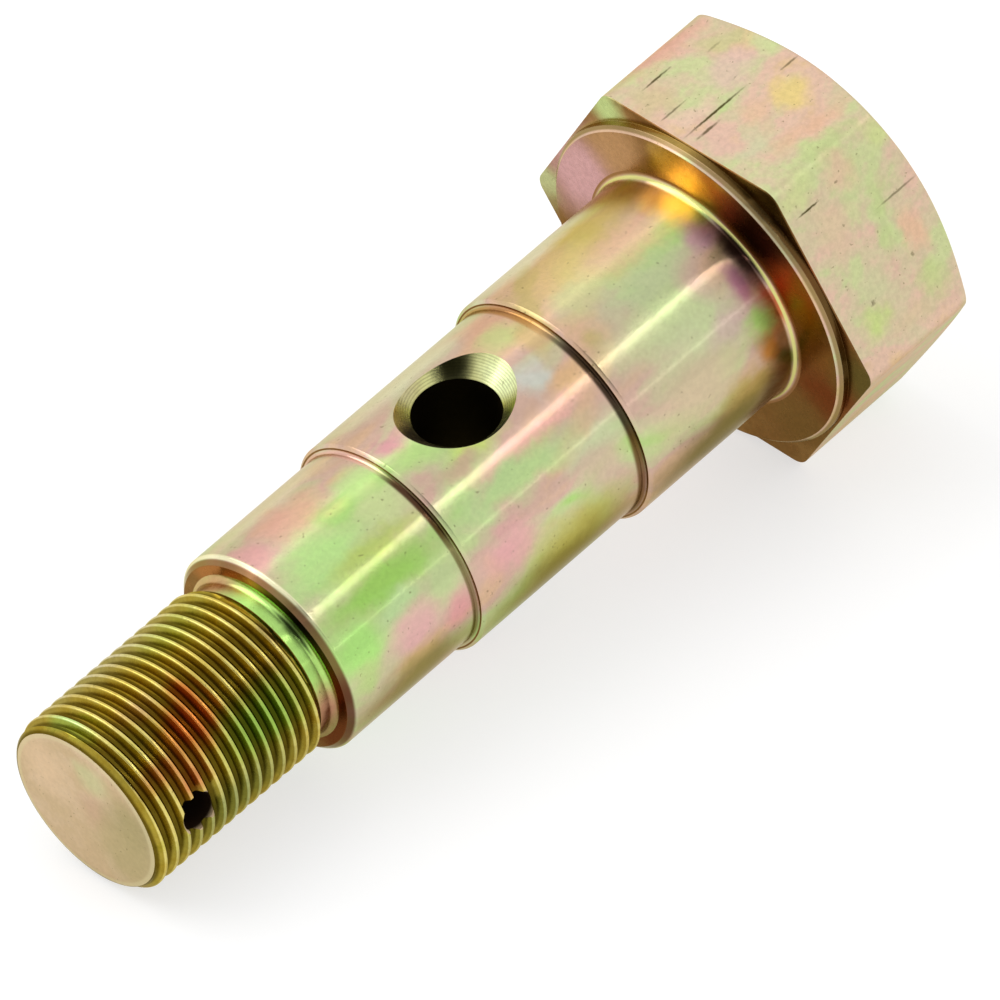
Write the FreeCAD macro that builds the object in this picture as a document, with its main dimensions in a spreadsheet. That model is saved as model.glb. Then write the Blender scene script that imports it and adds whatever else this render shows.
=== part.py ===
import FreeCAD, Part

import math
import os

import Sketcher

# Steering link pin
#
# A one-piece pin turned from hexagon bar. A hexagon head with a raised washer face
# carries three plain journals that step down in diameter, then a relief neck and a
# threaded end. A countersunk cross hole runs through the middle journal and a split-pin
# hole runs through the thread. The fine thread itself isn't cut here: the threaded end
# is a plain cylinder at the thread's major diameter, between its neck and end chamfers.
#
# The pin is drawn on its own axis: local Z runs from the washer face to the threaded
# end, and local X is the outward normal of one flat. Its placement then lays it down on
# the opposite flat, with the threaded end's rim touching the surface it lies on.

# Driving dimensions, in millimetres and degrees
DIMENSIONS = [
    ("across_flats", 47.0, "hexagon head, flat to flat"),
    ("head_height", 21.2, "washer face to the top of the head"),
    ("head_top_margin", 2.4, "across flats less the diameter of the head's flat top"),
    ("head_chamfer_angle", 30.0, "slope of the chamfer that runs round the head's top"),
    ("hex_corner_radius", 2.4, "rounding of the six long corners of the bar"),
    ("washer_face_margin", 0.7, "across flats less the washer face's diameter"),
    ("washer_face_height", 1.4, "step from the hexagon's underside to the washer face"),
    ("washer_face_break", 0.6, "bevel round the washer face"),
    ("washer_face_flare", 0.1, "how much the washer face's side slopes out to the hexagon"),
    ("head_root_radius", 1.0, "radius between the washer face and the large journal"),
    ("large_journal_diameter", 32.0, "journal next to the head"),
    ("large_journal_length", 25.5, "washer face to the first step"),
    ("middle_journal_diameter", 30.0, "journal with the cross hole"),
    ("middle_journal_length", 28.0, "first step to the second step"),
    ("small_journal_diameter", 28.0, "journal next to the neck"),
    ("small_journal_length", 21.5, "second step to the shoulder"),
    ("step_edge_break", 0.4, "bevel on the outer edge of each step"),
    ("step_root_radius", 0.4, "radius in the inner corner of each step"),
    ("shoulder_chamfer", 0.9, "chamfer on the shoulder that meets the neck"),
    ("neck_diameter", 22.0, "relief neck between the shoulder and the thread"),
    ("neck_length", 3.4, "shoulder to the first full thread"),
    ("neck_root_radius", 0.8, "radius between the shoulder and the neck"),
    ("thread_diameter", 24.0, "major diameter of the thread"),
    ("thread_length", 27.2, "first full thread to the end face"),
    ("end_chamfer", 1.0, "chamfer on the threaded end"),
    ("cross_hole_diameter", 11.0, "bore of the hole across the middle journal"),
    ("cross_hole_mouth", 16.2, "diameter of its countersinks at the journal's surface"),
    ("cross_hole_angle", 90.0, "included angle of its countersinks"),
    ("cross_hole_offset", 14.8, "first step to the hole's axis"),
    ("cross_hole_turn", 0.0, "turn of the hole from the upper flat's normal"),
    ("split_hole_diameter", 5.0, "bore of the split-pin hole"),
    ("split_hole_mouth", 5.8, "diameter of the bevels at its mouths"),
    ("split_hole_angle", 90.0, "included angle of the bevels at its mouths"),
    ("split_hole_to_end", 7.4, "the hole's axis to the end face"),
    ("split_hole_turn", -83.0, "turn of the hole from the upper flat's normal"),
    ("tool_clearance", 2.0, "how far each cutting profile passes outside the metal"),
]

SHEET = "Sizes"
HEX_SIDES = 6
FULL_TURN = 360.0

NEAR_ZERO = 1e-9

# The distance that is zero on each of a sketch's own axes, which are numbered down from -1
ZERO_ON_AXES = ("DistanceY", "DistanceX")


class Bound:
    """A number together with the sheet expression that gives it."""

    def __init__(self, value, text):
        self.value = value
        self.text = text

    def __add__(self, other):
        return Bound(self.value + other.value, f"({self.text} + {other.text})")

    def __sub__(self, other):
        return Bound(self.value - other.value, f"({self.text} - {other.text})")

    def __mul__(self, other):
        return Bound(self.value * other.value, f"({self.text} * {other.text})")

    def __truediv__(self, other):
        return Bound(self.value / other.value, f"({self.text} / {other.text})")

    def __neg__(self):
        return Bound(-self.value, f"(-{self.text})")


def number(value):
    """A plain constant of the geometry, such as a half."""
    return Bound(value, repr(value))


def tangent(angle):
    """Tangent of an angle kept in the sheet in degrees."""
    return Bound(math.tan(math.radians(angle.value)), f"tan({angle.text} * 1 deg)")


def fill_sheet(doc):
    """Write the driving dimensions into the sheet and return them by name."""
    sheet = doc.addObject("Spreadsheet::Sheet", SHEET)
    bounds = {}
    for row, (alias, value, meaning) in enumerate(DIMENSIONS, start=1):
        sheet.set(f"A{row}", alias)
        sheet.set(f"B{row}", str(value))
        sheet.setAlias(f"B{row}", alias)
        sheet.set(f"C{row}", meaning)
        bounds[alias] = Bound(value, f"{SHEET}.{alias}")
    doc.recompute()
    return bounds


def origin_plane(body, role):
    """One of the body's own origin planes."""
    for feature in body.Origin.OriginFeatures:
        if feature.Role == role:
            return feature
    raise RuntimeError(f"no {role} in {body.Label}")


def new_sketch(body, name, role):
    """An empty sketch that lies on one of the body's origin planes."""
    sketch = body.newObject("Sketcher::SketchObject", name)
    sketch.AttachmentSupport = [(origin_plane(body, role), "")]
    sketch.MapMode = "FlatFace"
    return sketch


def bind_distance(sketch, kind, geometry, point, bound):
    """Hold one end of a piece of geometry at a bound distance from the origin."""
    if abs(bound.value) < NEAR_ZERO:
        axis = -1 - ZERO_ON_AXES.index(kind)
        held = Sketcher.Constraint("PointOnObject", geometry, point, axis)
        sketch.addConstraint(held)
        return
    if bound.value > 0:
        held = Sketcher.Constraint(kind, -1, 1, geometry, point, bound.value)
        text = bound.text
    else:
        held = Sketcher.Constraint(kind, geometry, point, -1, 1, -bound.value)
        text = (-bound).text
    index = sketch.addConstraint(held)
    sketch.setExpression(f"Constraints[{index}]", text)


def draw_outline(sketch, corners):
    """Draw a closed outline through corners of the form (x, y, arc).

    arc is None for a straight run to the next corner. Otherwise it is the radius of the
    quarter-round hollow that leads there, which the outline enters along X, going in
    towards the axis, and leaves along Y.
    """
    count = len(corners)
    for index, (x, y, radius) in enumerate(corners):
        next_x, next_y, _ = corners[(index + 1) % count]
        start = FreeCAD.Vector(x.value, y.value, 0)
        end = FreeCAD.Vector(next_x.value, next_y.value, 0)
        if radius is None:
            sketch.addGeometry(Part.LineSegment(start, end), False)
        else:
            centre = FreeCAD.Vector(x.value, next_y.value, 0)
            ring = Part.Circle(centre, FreeCAD.Vector(0, 0, 1), radius.value)
            arc = Part.ArcOfCircle(ring, math.pi, 1.5 * math.pi)
            sketch.addGeometry(arc, False)
    close_outline(sketch, corners)


def close_outline(sketch, corners):
    """Join the runs of an outline and bind each corner and radius to the sheet."""
    # An arc runs anticlockwise, so the outline enters a hollow by the arc's second end
    entries = [1 if radius is None else 2 for _, _, radius in corners]
    for index, (x, y, radius) in enumerate(corners):
        entry = entries[index]
        after = (index + 1) % len(corners)
        joint = Sketcher.Constraint("Coincident", index, 3 - entry, after, entries[after])
        sketch.addConstraint(joint)
        bind_distance(sketch, "DistanceX", index, entry, x)
        bind_distance(sketch, "DistanceY", index, entry, y)
        if radius is not None:
            held = sketch.addConstraint(Sketcher.Constraint("Radius", index, radius.value))
            sketch.setExpression(f"Constraints[{held}]", radius.text)


def require_change(before, after, growing):
    """Stop if a feature added or removed nothing, as one that points away does."""
    change = after.Volume - before
    if (change > 0) != growing or change == 0:
        raise RuntimeError("a feature left the pin as it was")


def draw_hexagon(sketch, flat, radius):
    """Draw a hexagon with rounded corners and one side's normal along X.

    flat is the distance from the centre to each side, and radius rounds the corners.
    """
    turn = 2 * math.pi / HEX_SIDES
    side = (flat - radius) * number(math.tan(turn / 2))
    up = FreeCAD.Vector(0, 0, 1)
    ends = []
    for index in range(HEX_SIDES):
        cosine = number(math.cos(turn * index))
        sine = number(math.sin(turn * index))
        start = (flat * cosine + side * sine, flat * sine - side * cosine)
        end = (flat * cosine - side * sine, flat * sine + side * cosine)
        ends.append((start, end))
        first, last = [FreeCAD.Vector(x.value, y.value, 0) for x, y in (start, end)]
        sketch.addGeometry(Part.LineSegment(first, last), False)
        reach = (flat.value - radius.value) / math.cos(turn / 2)
        bearing = turn * (index + 0.5)
        centre = FreeCAD.Vector(reach * math.cos(bearing), reach * math.sin(bearing), 0)
        ring = Part.Circle(centre, up, radius.value)
        arc = Part.ArcOfCircle(ring, turn * index, turn * (index + 1))
        sketch.addGeometry(arc, False)
    for index, (start, end) in enumerate(ends):
        line = 2 * index
        arc = line + 1
        after = (line + 2) % (2 * HEX_SIDES)
        sketch.addConstraint(Sketcher.Constraint("Coincident", line, 2, arc, 1))
        sketch.addConstraint(Sketcher.Constraint("Coincident", arc, 2, after, 1))
        for point, (x, y) in ((1, start), (2, end)):
            bind_distance(sketch, "DistanceX", line, point, x)
            bind_distance(sketch, "DistanceY", line, point, y)
        held = sketch.addConstraint(Sketcher.Constraint("Radius", arc, radius.value))
        sketch.setExpression(f"Constraints[{held}]", radius.text)


def add_head(doc, body, size):
    """The hexagon head, with rounded long corners and a chamfered top."""
    section = new_sketch(body, "HexagonSketch", "XY_Plane")
    section.setExpression("AttachmentOffset.Base.z", (-size["washer_face_height"]).text)
    draw_hexagon(section, size["across_flats"] / number(2.0), size["hex_corner_radius"])
    head = body.newObject("PartDesign::Pad", "HexagonHead")
    head.Profile = section
    head.Reversed = True
    head.setExpression("Length", (size["head_height"] - size["washer_face_height"]).text)
    doc.recompute()
    require_change(0, head.Shape, True)

    top = -size["head_height"]
    inner = (size["across_flats"] - size["head_top_margin"]) / number(2.0)
    outer = size["across_flats"] / number(math.sqrt(3.0)) + size["tool_clearance"]
    depth = (outer - inner) * tangent(size["head_chamfer_angle"])
    sketch = new_sketch(body, "HeadChamferSketch", "XZ_Plane")
    draw_outline(sketch, [(inner, top, None), (outer, top, None), (outer, top + depth, None)])
    chamfer = body.newObject("PartDesign::Groove", "HeadChamfer")
    chamfer.Profile = sketch
    chamfer.ReferenceAxis = (sketch, ["V_Axis"])
    chamfer.Angle = FULL_TURN
    doc.recompute()
    require_change(head.Shape.Volume, chamfer.Shape, False)
    return chamfer


def stations(size):
    """Distances of the steps, shoulder, thread and end face from the washer face."""
    first = size["large_journal_length"]
    second = first + size["middle_journal_length"]
    shoulder = second + size["small_journal_length"]
    thread = shoulder + size["neck_length"]
    end = thread + size["thread_length"]
    return first, second, shoulder, thread, end


def shank_corners(size):
    """Half section of the washer face, journals, neck and threaded end."""
    zero = number(0.0)
    half = number(2.0)
    washer = (size["across_flats"] - size["washer_face_margin"]) / half
    large = size["large_journal_diameter"] / half
    middle = size["middle_journal_diameter"] / half
    small = size["small_journal_diameter"] / half
    neck = size["neck_diameter"] / half
    thread = size["thread_diameter"] / half
    bevel, hollow = size["step_edge_break"], size["step_root_radius"]
    rim, flare = size["washer_face_break"], size["washer_face_flare"]
    head_root, neck_root = size["head_root_radius"], size["neck_root_radius"]
    shoulder_bevel, end_bevel = size["shoulder_chamfer"], size["end_chamfer"]
    first, second, shoulder, thread_start, end = stations(size)
    underside = -size["washer_face_height"]
    return [
        (zero, underside, None),
        (washer + flare, underside, None),
        (washer, -rim, None),
        (washer - rim, zero, None),
        (large + head_root, zero, head_root),
        (large, head_root, None),
        (large, first - bevel, None),
        (large - bevel, first, None),
        (middle + hollow, first, hollow),
        (middle, first + hollow, None),
        (middle, second - bevel, None),
        (middle - bevel, second, None),
        (small + hollow, second, hollow),
        (small, second + hollow, None),
        (small, shoulder - shoulder_bevel, None),
        (small - shoulder_bevel, shoulder, None),
        (neck + neck_root, shoulder, neck_root),
        (neck, shoulder + neck_root, None),
        (neck, thread_start - (thread - neck), None),
        (thread, thread_start, None),
        (thread, end - end_bevel, None),
        (thread - end_bevel, end, None),
        (zero, end, None),
    ]


def add_shank(doc, body, size, base):
    """Turn the washer face and everything beyond it onto the head."""
    sketch = new_sketch(body, "ShankSketch", "XZ_Plane")
    draw_outline(sketch, shank_corners(size))
    shank = body.newObject("PartDesign::Revolution", "Shank")
    shank.Profile = sketch
    shank.ReferenceAxis = (sketch, ["V_Axis"])
    shank.Angle = FULL_TURN
    doc.recompute()
    require_change(base.Shape.Volume, shank.Shape, True)
    return shank


def add_cross_hole(doc, body, size, base, name, diameter, station):
    """Bore right through the pin, with a countersink at both mouths.

    name gives both the feature's name and the sheet's names of the hole's own sizes.
    """
    half = number(2.0)
    bore = size[f"{name}_diameter"] / half
    mouth = size[f"{name}_mouth"] / half
    slope = tangent(size[f"{name}_angle"] / half)
    surface = diameter / half
    inner = surface - (mouth - bore) / slope
    reach = surface + size["tool_clearance"]
    flare = mouth + size["tool_clearance"] * slope
    zero = number(0.0)

    feature_name = "".join(word.capitalize() for word in name.split("_"))
    sketch = new_sketch(body, f"{feature_name}Sketch", "XZ_Plane")
    turn = f"rotation(vector(0; 1; 0); {size[f'{name}_turn'].text})"
    place = f"placement(vector(0; {station.text}; 0); {turn})"
    sketch.setExpression("AttachmentOffset", place)
    draw_outline(
        sketch,
        [
            (-reach, zero, None),
            (reach, zero, None),
            (reach, flare, None),
            (inner, bore, None),
            (-inner, bore, None),
            (-reach, flare, None),
        ],
    )
    hole = body.newObject("PartDesign::Groove", feature_name)
    hole.Profile = sketch
    hole.ReferenceAxis = (sketch, ["H_Axis"])
    hole.Angle = FULL_TURN
    doc.recompute()
    require_change(base.Shape.Volume, hole.Shape, False)
    return hole


def lay_down(body, size):
    """Place the pin as it lies: on the lower flat's front edge and the thread's rim.

    The pin's axis dips towards the threaded end. The placement's point puts the middle
    of the pin's length over the origin and the surface that it lies on at height zero.
    """
    half = number(2.0)
    flat = size["across_flats"] / half
    rim = size["thread_diameter"] / half
    top = (size["across_flats"] - size["head_top_margin"]) / half
    end = stations(size)[-1]
    slope = (flat - rim) / (end - size["end_chamfer"] + size["washer_face_height"])
    dip = f"atan({slope.text})"
    sine = Bound(math.sin(math.atan(slope.value)), f"sin({dip})")
    cosine = Bound(math.cos(math.atan(slope.value)), f"cos({dip})")
    end_reach = (rim - size["end_chamfer"]) * sine + end * cosine
    head_reach = top * sine + size["head_height"] * cosine
    forward = (end_reach - head_reach) / half
    height = flat * cosine - size["washer_face_height"] * sine
    turn = f"rotation(vector(0; 1; 0); -90 deg - {dip})"
    place = f"placement(vector({forward.text}; 0; {height.text}); {turn})"
    body.setExpression("Placement", place)


def make_link_pin(doc, size):
    """The whole pin, as one body."""
    body = doc.addObject("PartDesign::Body", "LinkPin")
    body.Label = "link_pin"
    first, _, _, _, end = stations(size)
    head = add_head(doc, body, size)
    shank = add_shank(doc, body, size, head)
    cross_station = first + size["cross_hole_offset"]
    journal = size["middle_journal_diameter"]
    cross_hole = add_cross_hole(doc, body, size, shank, "cross_hole", journal, cross_station)
    split_station = end - size["split_hole_to_end"]
    thread = size["thread_diameter"]
    split_hole = add_cross_hole(doc, body, size, cross_hole, "split_hole", thread, split_station)
    body.Tip = split_hole
    lay_down(body, size)
    return body


def check_document(doc, pieces):
    """Stop if any object failed or any piece isn't one valid solid."""
    for item in doc.Objects:
        if "Invalid" in item.State or "Error" in item.State:
            raise RuntimeError(f"{item.Label} failed: {item.State}")
    for piece in pieces:
        shape = piece.Shape
        if shape.isNull() or not shape.isValid() or len(shape.Solids) != 1:
            raise RuntimeError(f"{piece.Label} isn't one valid solid")


def main():
    """Build the pin and write it."""
    doc = FreeCAD.newDocument("SteeringLinkPin")
    size = fill_sheet(doc)
    pieces = [make_link_pin(doc, size)]
    doc.recompute()
    check_document(doc, pieces)
    os.makedirs("parts", exist_ok=True)
    for piece in pieces:
        piece.Shape.exportStep(f"parts/{piece.Label}.step")
        box = piece.Shape.optimalBoundingBox(True, True)
        print(f"{piece.Label}: {box.XLength:.2f} x {box.YLength:.2f} x {box.ZLength:.2f} mm")


main()
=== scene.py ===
import logging
import math
from collections.abc import Callable
from dataclasses import dataclass, field
from enum import Enum
from typing import Any, ClassVar

import bmesh
import bpy
from mathutils import Matrix, Vector


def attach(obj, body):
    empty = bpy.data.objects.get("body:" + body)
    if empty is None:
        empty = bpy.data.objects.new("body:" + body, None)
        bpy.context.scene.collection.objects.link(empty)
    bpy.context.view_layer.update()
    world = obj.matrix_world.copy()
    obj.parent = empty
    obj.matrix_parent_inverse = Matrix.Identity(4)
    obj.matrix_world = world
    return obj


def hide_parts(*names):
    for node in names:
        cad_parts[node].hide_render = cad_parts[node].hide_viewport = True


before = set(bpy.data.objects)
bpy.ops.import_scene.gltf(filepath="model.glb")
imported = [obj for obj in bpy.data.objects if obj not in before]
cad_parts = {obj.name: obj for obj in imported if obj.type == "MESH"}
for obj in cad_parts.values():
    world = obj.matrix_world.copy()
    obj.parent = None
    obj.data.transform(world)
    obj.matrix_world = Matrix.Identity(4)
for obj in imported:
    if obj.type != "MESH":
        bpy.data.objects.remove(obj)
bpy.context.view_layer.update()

LOG = logging.getLogger("steering_link_pin")
MM = 0.001
TURN = 2 * math.pi
Socket = bpy.types.NodeSocket
Triple = tuple[float, float, float]
Pair = tuple[float, float]
Row = tuple[float | str, ...]
Stops = tuple[tuple[float, str], ...]

# Half the angle that one side of the hexagon takes up
HALF_SIDE = TURN / 12

# Points of a mesh closer than the first, in millimetres, become one, and edges shorter
# than the second go
WELD = 0.0015
SLIVER = 0.0005

# Every noise and its colours lie round one half
HALF = 0.5
HALF_COLOUR = (HALF, HALF, HALF)

# What a vector is multiplied by to leave only its part across the pin
ACROSS = (1.0, 1.0, 0.0)


class Surface(Enum):
    """The kinds of surface on the pin, each with a finish of its own."""

    BAR = 0
    SQUARE_FACE = 1
    LARGE_JOURNAL = 2
    MIDDLE_JOURNAL = 3
    SMALL_JOURNAL = 4
    NECK = 5
    THREAD = 6
    END_FACE = 7
    COUNTERSINK = 8
    BORE = 9
    SPLIT_HOLE = 10


class Sum(Enum):
    """The sums that the materials do with values and with vectors."""

    ADD = "ADD"
    SUBTRACT = "SUBTRACT"
    MULTIPLY = "MULTIPLY"
    SINE = "SINE"
    NORMALIZE = "NORMALIZE"
    LENGTH = "LENGTH"
    DOT = "DOT_PRODUCT"
    CROSS = "CROSS_PRODUCT"


class Blend(Enum):
    """The ways in which one colour goes over another."""

    COVER = "MIX"
    DARKEN = "MULTIPLY"


@dataclass(frozen=True)
class Corner:
    """One corner of a turned outline.

    The surface is that of the corner's rounding and of the run which starts there.
    """

    radius: float
    station: float
    surface: Surface
    rounding: float = 0.0
    steps: int = 4


@dataclass(frozen=True)
class Spot:
    """One point of an outline, ready for the mesh."""

    radius: float
    station: float
    surface: Surface


def trace_outline(corners: list[Corner]) -> list[Spot]:
    """Follow an outline and round its corners.

    Args:
        corners: The outline's corners in order.

    Returns:
        The outline's points. Each corner gives the same number of points whatever its place.
    """
    spots: list[Spot] = []
    last = len(corners) - 1
    for index, corner in enumerate(corners):
        if corner.rounding <= 0 or index in (0, last):
            spots.append(Spot(corner.radius, corner.station, corner.surface))
            continue
        here = Vector((corner.radius, corner.station))
        before, after = corners[index - 1], corners[index + 1]
        back = (Vector((before.radius, before.station)) - here).normalized()
        ahead = (Vector((after.radius, after.station)) - here).normalized()
        half = back.angle(ahead) / 2
        centre = here + (back + ahead).normalized() * (corner.rounding / math.sin(half))
        reach = corner.rounding / math.tan(half)
        first = (here + back * reach - centre).normalized()
        final = (here + ahead * reach - centre).normalized()
        for step in range(corner.steps + 1):
            spoke = first.slerp(final, step / corner.steps)
            spot = centre + spoke * corner.rounding
            spots.append(Spot(spot.x, spot.y, corner.surface))
    return spots


@dataclass(frozen=True)
class HexagonHead:
    """The hexagon head, a length of hexagon bar chamfered round its top."""

    across_flats: float = 47.0
    height: float = 21.2
    top_margin: float = 2.4
    chamfer_slope: float = math.tan(math.radians(30.0))
    corner_radius: float = 2.4
    edge_round: float = 0.35
    lower_edge_round: float = 0.14
    underside: float = -1.4

    @property
    def flat(self) -> float:
        """Distance from the axis to each flat."""
        return self.across_flats / 2

    @property
    def corner_start(self) -> float:
        """Angle from a flat's middle to where the rounding of a long corner starts."""
        side = (self.flat - self.corner_radius) * math.tan(HALF_SIDE)
        return math.atan2(side, self.flat)

    def bearings(self, plain: int = 22, corner: int = 5) -> list[float]:
        """Angles at which the whole pin is divided.

        Args:
            plain: Divisions over each flat.
            corner: Divisions over half of each long corner.

        Returns:
            Angles over one turn, close together over the long corners.
        """
        start = self.corner_start
        rest = HALF_SIDE - start
        spans = ((-HALF_SIDE, rest, corner), (-start, 2 * start, plain), (start, rest, corner))
        angles: list[float] = []
        for side in range(6):
            for first, width, count in spans:
                for step in range(count):
                    angles.append(side * 2 * HALF_SIDE + first + width * step / count)
        return angles

    def reach(self, bearing: float) -> float:
        """Distance from the axis to the bar's side.

        Args:
            bearing: Angle from the upper flat's normal.

        Returns:
            The distance in millimetres.
        """
        off = abs((bearing + HALF_SIDE) % (2 * HALF_SIDE) - HALF_SIDE)
        if off <= self.corner_start:
            return self.flat / math.cos(off)
        centre = (self.flat - self.corner_radius) / math.cos(HALF_SIDE)
        slant = off - HALF_SIDE
        inner = self.corner_radius**2 - (centre * math.sin(slant)) ** 2
        return centre * math.cos(slant) + math.sqrt(inner)

    def outline(self, bearing: float) -> list[Corner]:
        """The head's outline at one angle, from the middle of its top to its underside.

        Args:
            bearing: Angle from the upper flat's normal.

        Returns:
            The corners in order.
        """
        reach = self.reach(bearing)
        top = self.flat - self.top_margin / 2
        drop = (reach - top) * self.chamfer_slope
        bar, rounding = Surface.BAR, self.edge_round
        return [
            Corner(0.0, -self.height, bar),
            Corner(top / 2, -self.height, bar),
            Corner(top, -self.height, bar, rounding),
            Corner(reach, drop - self.height, bar, rounding),
            Corner(reach, self.underside, Surface.SQUARE_FACE, self.lower_edge_round),
        ]


@dataclass(frozen=True)
class SteppedShank:
    """The washer face, the three plain journals and the relief neck."""

    washer_foot: float = 23.25
    washer_side: float = 23.15
    washer_rim: float = 22.55
    underside: float = HexagonHead.underside
    washer_bevel: float = 0.6
    head_root: float = 1.0
    radii: Triple = (16.0, 15.0, 14.0)
    steps: Triple = (25.5, 53.5, 75.0)
    edge_breaks: Triple = (0.4, 0.4, 0.9)
    step_root: float = 0.4
    edge_round: float = 0.08
    neck: float = 11.0
    neck_root: float = 0.8
    foot_round: float = 0.06
    rim_round: float = 0.12
    edge_divisions: int = 2
    root_divisions: int = 5

    def outline(self) -> list[Corner]:
        """The outline from the washer face's foot to the relief neck.

        Returns:
            The corners in order.
        """
        square, large = Surface.SQUARE_FACE, Surface.LARGE_JOURNAL
        rim_round, few, many = self.rim_round, self.edge_divisions, self.root_divisions
        corners = [
            Corner(self.washer_foot, self.underside, square, self.foot_round, few),
            Corner(self.washer_side, -self.washer_bevel, large, rim_round, few),
            Corner(self.washer_rim, 0.0, square, rim_round, few),
            Corner(self.radii[0], 0.0, large, self.head_root, many + 1),
        ]
        surfaces = (large, Surface.MIDDLE_JOURNAL, Surface.SMALL_JOURNAL, Surface.NECK)
        inner_radii = (*self.radii[1:], self.neck)
        roots = (self.step_root, self.step_root, self.neck_root)
        edge_round = self.edge_round
        for index, radius in enumerate(self.radii):
            step, edge = self.steps[index], self.edge_breaks[index]
            after = surfaces[index + 1]
            corners.append(Corner(radius, step - edge, surfaces[index], edge_round, few))
            corners.append(Corner(radius - edge, step, square, edge_round, few))
            corners.append(Corner(inner_radii[index], step, after, roots[index], many))
        return corners


@dataclass(frozen=True)
class FineThread:
    """The fine right-hand thread, with its run-out at the neck and its chamfered end."""

    major: float = 12.0
    pitch: float = 2.0
    depth: float = 0.92
    crest_flat: float = 0.085
    crest_soft: float = 0.05
    root_soft: float = 0.12
    start: float = 77.2
    full_from: float = 78.4
    chamfer_from: float = 104.6
    end: float = 105.6
    neck: float = SteppedShank.neck
    end_bevel: float = 0.2
    end_flat: float = 9.9
    end_round: float = 0.5
    bevel_round: float = 0.06
    phase: float = 0.5
    flank_angle: float = 30.0
    run_out_from: float = 0.2
    run_out: float = 1.2
    rows: tuple[float, ...] = (
        0.0, 0.045, 0.07, 0.09, 0.11, 0.14, 0.21, 0.28, 0.33, 0.36, 0.40, 0.5,
        0.60, 0.64, 0.67, 0.72, 0.79, 0.86, 0.89, 0.91, 0.93, 0.955,
    )

    @property
    def stop(self) -> float:
        """Where the rows of the thread stop, short of the end's own bevel."""
        return self.end - self.end_bevel

    def blank(self, station: float) -> float:
        """Radius of the blank that the thread is cut into.

        Args:
            station: Distance from the washer face.

        Returns:
            The radius in millimetres.
        """
        taper = self.neck + max(0.0, station - self.full_from + self.major - self.neck)
        chamfer = self.major - max(0.0, station - self.chamfer_from)
        return min(self.major, taper, chamfer)

    def groove(self, station: float, bearing: float) -> float:
        """Depth of the thread's groove.

        Args:
            station: Distance from the washer face.
            bearing: Angle from the upper flat's normal.

        Returns:
            The depth in millimetres.
        """
        place = station / self.pitch - bearing / TURN + self.phase
        off = abs(place - round(place))
        slope = math.tan(math.radians(self.flank_angle))
        flank = (off - self.crest_flat) * self.pitch / slope
        rise = (flank + math.hypot(flank, self.crest_soft)) / 2
        over = self.depth - rise
        cut = self.depth - (over + math.hypot(over, self.root_soft)) / 2
        past = station - self.start - self.run_out_from
        ramp = min(1.0, max(0.0, past / self.run_out))
        ramp = ramp * ramp * (3 - 2 * ramp)
        return max(0.0, cut) * ramp

    def outline(self, bearing: float) -> list[Spot]:
        """The thread's outline at one angle, from the neck to the end face.

        The rows follow the helix, so each crest is one line of edges. Rows beyond the
        thread's ends lie on its ends, where they are welded together.

        Args:
            bearing: Angle from the upper flat's normal, up to one whole turn.

        Returns:
            The outline's points.
        """
        turns = math.ceil((self.stop - self.start) / self.pitch) + 2
        shift = bearing / TURN - self.phase
        base = math.floor(self.start / self.pitch + self.phase) - 1
        stations = []
        for turn in range(turns + 1):
            for row in self.rows:
                place = (base + turn + row + shift) * self.pitch
                stations.append(min(self.stop, max(self.start, place)))
        for ring in (self.full_from, self.chamfer_from):
            nearest = min(range(len(stations)), key=lambda i: abs(stations[i] - ring))
            stations[nearest] = ring
        spots = []
        for station in stations:
            radius = min(self.blank(station), self.major - self.groove(station, bearing))
            spots.append(Spot(radius, station, Surface.THREAD))
        return spots

    def end_corners(self) -> list[Corner]:
        """The corners from the chamfer to the middle of the end face.

        Returns:
            The corners in order.
        """
        end_face, edge = Surface.END_FACE, self.bevel_round
        return [
            Corner(self.blank(self.stop), self.stop, end_face),
            Corner(self.blank(self.end), self.stop + edge, end_face, edge, 2),
            Corner(self.end_flat, self.end, end_face, self.end_round, 3),
            Corner(self.end_flat / 2, self.end, end_face),
            Corner(0.0, self.end, end_face),
        ]


@dataclass(frozen=True)
class CrossHole:
    """A hole right through the pin, with a flared mouth at each end.

    The bore and the mouth are radii, and skin is that of the surface that they open on.
    """

    name: str
    station: float
    bearing: float
    bore: float
    mouth: float
    skin: float
    flare: Surface
    wall: Surface
    divisions: int = 96
    clearance: float = 2.0

    def cutter_outline(self) -> list[Spot]:
        """Half section of the hole's cutter.

        Returns:
            Its points, from one end of the hole's axis to the other.
        """
        depth = self.mouth - self.bore
        inner = self.skin - depth
        outer = self.skin + self.clearance
        flare = self.mouth + self.clearance
        return [
            Spot(0.0, -outer, self.flare),
            Spot(flare, -outer, self.flare),
            Spot(self.bore, -inner, self.wall),
            Spot(self.bore, inner, self.flare),
            Spot(flare, outer, self.flare),
            Spot(0.0, outer, self.flare),
        ]

    def place(self) -> Matrix:
        """Where the cutter stands in the pin's own frame.

        Returns:
            The way from the cutter's frame to the pin's.
        """
        about = Matrix.Rotation(self.bearing, 4, "Z")
        over = Matrix.Rotation(math.pi / 2, 4, "Y")
        return Matrix.Translation((0.0, 0.0, self.station)) @ about @ over


CROSS_HOLE = CrossHole(
    "cross_hole", station=40.3, bearing=0.0, bore=5.5, mouth=8.1, skin=SteppedShank.radii[1],
    flare=Surface.COUNTERSINK, wall=Surface.BORE,
)
SPLIT_PIN_HOLE = CrossHole(
    "split_pin_hole", station=98.2, bearing=math.radians(-83.0), bore=2.5, mouth=2.9,
    skin=FineThread.major, flare=Surface.SPLIT_HOLE, wall=Surface.SPLIT_HOLE,
)


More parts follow.
